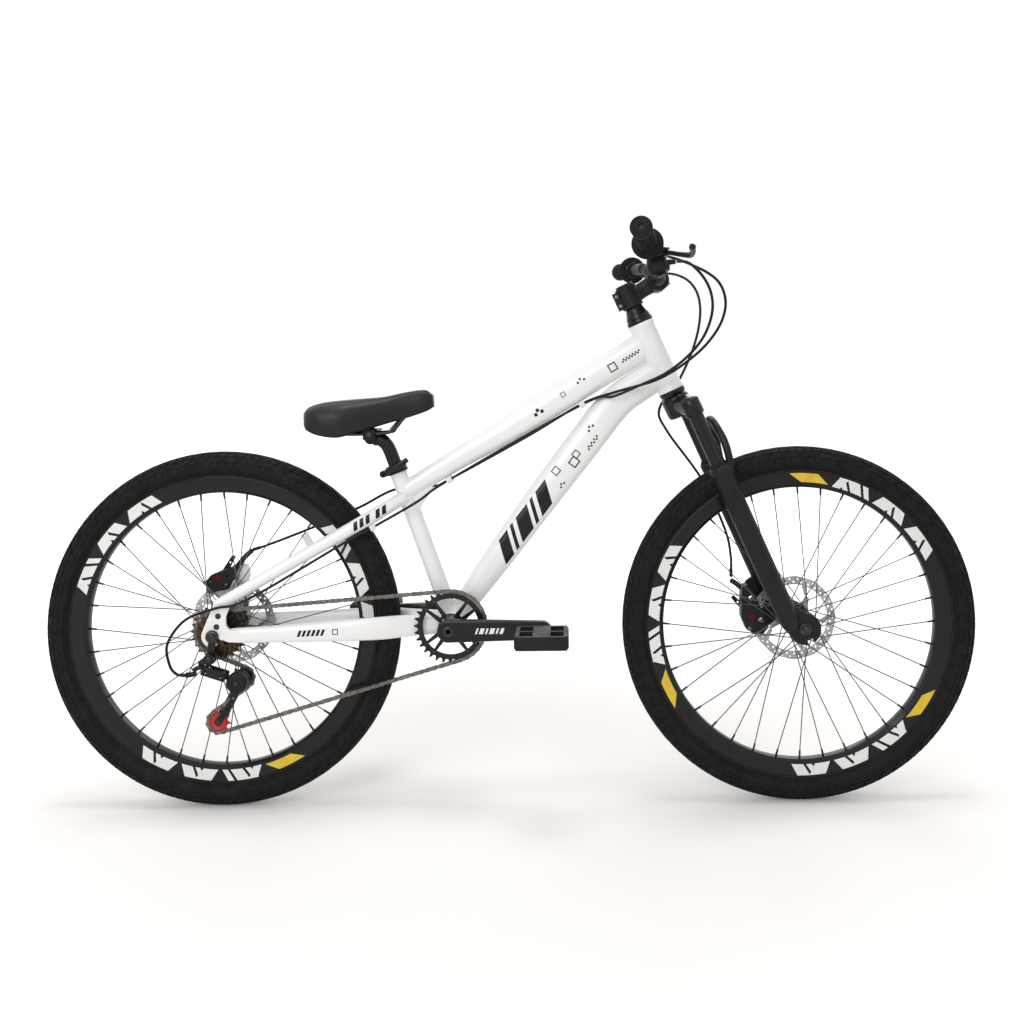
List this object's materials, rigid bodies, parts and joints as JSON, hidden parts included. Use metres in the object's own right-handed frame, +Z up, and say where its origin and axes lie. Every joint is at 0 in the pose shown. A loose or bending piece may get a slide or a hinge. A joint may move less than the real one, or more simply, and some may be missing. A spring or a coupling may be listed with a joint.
{
  "type": "freeride bicycle",
  "caption": "Hardtail freeride bicycle with a suspension fork, disc brakes, one chainring, a freewheel, a rear derailleur, a riser bar and a low saddle.",
  "frame": {"origin": "on the ground, midway between the two axles, on the bicycle's middle plane", "axes": "+X forward, +Y to the rider's left, +Z up; the chain is on the -Y side"},
  "size_m": [1.744, 0.6662, 1.0479],
  "materials": {
    "frame_white": "gloss white enamel",
    "gloss_black": "gloss black",
    "satin_black": "satin black",
    "anodised_black": "black anodised",
    "tyre_rubber": "matt black rubber",
    "soft_rubber": "soft matt rubber",
    "black_plastic": "moulded black",
    "bright_steel": "ground bright",
    "dark_steel": "dark plated",
    "bronze_steel": "bronze coloured plating",
    "chain_steel": "oiled brown grey",
    "red_plastic": "dark red",
    "seat_vinyl": "black vinyl",
    "cable_cover": "black cable housing"
  },
  "bodies": {
    "frame": {"main_frame": "frame_white", "headset_lower_cup": "gloss_black", "headset_upper_cup": "gloss_black", "bottom_bracket_cartridge": "dark_steel", "chain": "chain_steel", "derailleur_hanger": "gloss_black", "derailleur_bracket": "gloss_black", "seat_clamp_collar": "gloss_black", "rear_axle": "dark_steel", "rear_caliper_body": "satin_black", "rear_brake_cable": "cable_cover", "shift_cable": "cable_cover"},
    "steering": {"fork_crown_and_steerer": "gloss_black", "headset_cone_spacer": "gloss_black", "stem": "satin_black", "stem_faceplate": "satin_black", "stem_top_cap": "gloss_black", "handlebar": "satin_black", "grip_right": "soft_rubber", "grip_left": "soft_rubber", "brake_lever_bracket_right": "satin_black", "brake_lever_bracket_left": "satin_black", "shifter_body": "black_plastic", "front_brake_cable": "cable_cover"},
    "fork_slider": {"fork_lowers": "satin_black", "front_axle": "dark_steel", "front_caliper_body": "satin_black"},
    "front_wheel": {"front_tyre": "tyre_rubber", "front_rim": "gloss_black", "front_hub_and_spokes": "dark_steel", "front_brake_rotor": "bright_steel"},
    "rear_wheel": {"rear_tyre": "tyre_rubber", "rear_rim": "gloss_black", "rear_hub_and_spokes": "dark_steel", "rear_brake_rotor": "bright_steel"},
    "crank_set": {"crank_spindle": "dark_steel", "crank_arm_right": "gloss_black", "crank_arm_left": "gloss_black", "chainring": "gloss_black", "pedal_axle_right": "dark_steel", "pedal_axle_left": "dark_steel"},
    "right_pedal": {"pedal_body_right": "black_plastic"},
    "left_pedal": {"pedal_body_left": "black_plastic"},
    "freewheel_stack": {"freewheel": "bronze_steel"},
    "outer_link": {"derailleur_outer_link": "gloss_black"},
    "inner_link": {"derailleur_inner_link": "dark_steel"},
    "knuckle": {"derailleur_knuckle": "black_plastic"},
    "cage": {"derailleur_cage": "gloss_black"},
    "upper_pulley": {"guide_pulley": "black_plastic"},
    "lower_pulley": {"tension_pulley": "red_plastic"},
    "right_lever": {"brake_lever_blade_right": "satin_black"},
    "left_lever": {"brake_lever_blade_left": "satin_black"},
    "thumb_lever": {"shifter_thumb_lever": "black_plastic"},
    "rear_arm": {"rear_caliper_arm": "anodised_black"},
    "front_arm": {"front_caliper_arm": "anodised_black"},
    "seat": {"seatpost": "gloss_black", "saddle_clamp": "gloss_black", "saddle_rails": "dark_steel", "saddle": "seat_vinyl"},
    "seat_lever": {"seat_clamp_lever": "gloss_black"}
  },
  "joints": [
    {"name": "steering_turn", "type": "hinge", "parent": "frame", "child": "steering", "pos_m": [0.305, 0, 0.771], "axis": [-0.4051, 0, 0.9143], "range_deg": [-60, 60], "deforming": ["shift_cable", "rear_brake_cable"]},
    {"name": "fork_travel", "type": "slide", "parent": "steering", "child": "fork_slider", "axis": [-0.4051, 0, 0.9143], "range_m": [0, 0.08], "stiffness_N_per_m": 6000, "springref_m": -0.02, "deforming": ["front_brake_cable"]},
    {"name": "front_wheel_spin", "type": "hinge", "parent": "fork_slider", "child": "front_wheel", "pos_m": [0.54, 0, 0.332], "axis": [0, 1, 0], "continuous": true},
    {"name": "rear_wheel_spin", "type": "hinge", "parent": "frame", "child": "rear_wheel", "pos_m": [-0.54, 0, 0.332], "axis": [0, 1, 0], "continuous": true},
    {"name": "crank_spin", "type": "hinge", "parent": "frame", "child": "crank_set", "pos_m": [-0.11, 0, 0.34], "axis": [0, 1, 0], "continuous": true, "deforming": ["chain"]},
    {"name": "freewheel_spin", "type": "hinge", "parent": "frame", "child": "freewheel_stack", "pos_m": [-0.54, 0, 0.332], "axis": [0, 1, 0], "continuous": true, "deforming": ["chain"]},
    {"name": "right_pedal_spin", "type": "hinge", "parent": "crank_set", "child": "right_pedal", "pos_m": [0.06, -0.143, 0.34], "axis": [0, 1, 0], "continuous": true},
    {"name": "left_pedal_spin", "type": "hinge", "parent": "crank_set", "child": "left_pedal", "pos_m": [-0.28, 0.143, 0.34], "axis": [0, 1, 0], "continuous": true},
    {"name": "outer_link_swing", "type": "hinge", "parent": "frame", "child": "outer_link", "pos_m": [-0.553, -0.085, 0.273], "axis": [0.3123, 0, 0.95], "range_deg": [-30, 14.5], "deforming": ["chain"]},
    {"name": "inner_link_swing", "type": "hinge", "parent": "frame", "child": "inner_link", "pos_m": [-0.553, -0.068, 0.273], "axis": [0.3123, 0, 0.95], "range_deg": [-30.1, 14.6], "deforming": ["chain"]},
    {"name": "knuckle_swing", "type": "hinge", "parent": "outer_link", "child": "knuckle", "pos_m": [-0.5165, -0.085, 0.261], "axis": [0.3123, 0, 0.95], "range_deg": [-14.6, 30.1], "deforming": ["chain"]},
    {"name": "cage_swing", "type": "hinge", "parent": "knuckle", "child": "cage", "pos_m": [-0.495, 0, 0.249], "axis": [0, 1, 0], "range_deg": [-20, 35], "deforming": ["chain"]},
    {"name": "upper_pulley_spin", "type": "hinge", "parent": "cage", "child": "upper_pulley", "pos_m": [-0.495, -0.0445, 0.249], "axis": [0, 1, 0], "continuous": true, "deforming": ["chain"]},
    {"name": "lower_pulley_spin", "type": "hinge", "parent": "cage", "child": "lower_pulley", "pos_m": [-0.539, -0.0445, 0.1686], "axis": [0, 1, 0], "continuous": true, "deforming": ["chain"]},
    {"name": "right_lever_pull", "type": "hinge", "parent": "steering", "child": "right_lever", "pos_m": [0.28042, -0.18904, 1.00701], "axis": [-0.3549, -0.018, -0.9347], "range_deg": [0, 14], "stiffness_Nm_per_rad": 0.6, "springref_deg": -17.19},
    {"name": "left_lever_pull", "type": "hinge", "parent": "steering", "child": "left_lever", "pos_m": [0.28042, 0.18904, 1.00701], "axis": [0.3549, -0.018, 0.9347], "range_deg": [0, 14], "stiffness_Nm_per_rad": 0.6, "springref_deg": -17.19},
    {"name": "thumb_lever_push", "type": "hinge", "parent": "steering", "child": "thumb_lever", "pos_m": [0.27307, -0.17028, 0.97276], "axis": [-0.4012, 0.1367, 0.9057], "range_deg": [0, 30], "stiffness_Nm_per_rad": 0.2, "springref_deg": -17.19},
    {"name": "rear_arm_pull", "type": "hinge", "parent": "frame", "child": "rear_arm", "pos_m": [-0.568, 0.074, 0.418], "axis": [0, 1, 0], "range_deg": [0, 20]},
    {"name": "front_arm_pull", "type": "hinge", "parent": "fork_slider", "child": "front_arm", "pos_m": [0.45776, 0.0645, 0.33493], "axis": [0, 1, 0], "range_deg": [0, 20]},
    {"name": "seatpost_height", "type": "slide", "parent": "frame", "child": "seat", "axis": [-0.3394, 0, 0.9407], "range_m": [-0.015, 0.06]},
    {"name": "seat_lever_turn", "type": "hinge", "parent": "frame", "child": "seat_lever", "pos_m": [-0.23678, -0.014, 0.61921], "axis": [0, 1, 0], "range_deg": [-60, 45]}
  ],
  "couplings": [
    {"joint": "freewheel_spin", "follows": "crank_spin", "ratio": 1.6},
    {"joint": "upper_pulley_spin", "follows": "crank_spin", "ratio": -3.2},
    {"joint": "lower_pulley_spin", "follows": "crank_spin", "ratio": 3.2},
    {"joint": "inner_link_swing", "follows": "outer_link_swing", "ratio": 1},
    {"joint": "knuckle_swing", "follows": "outer_link_swing", "ratio": -1},
    {"joint": "rear_arm_pull", "follows": "right_lever_pull", "ratio": 1.4},
    {"joint": "front_arm_pull", "follows": "left_lever_pull", "ratio": 1.4}
  ]
}
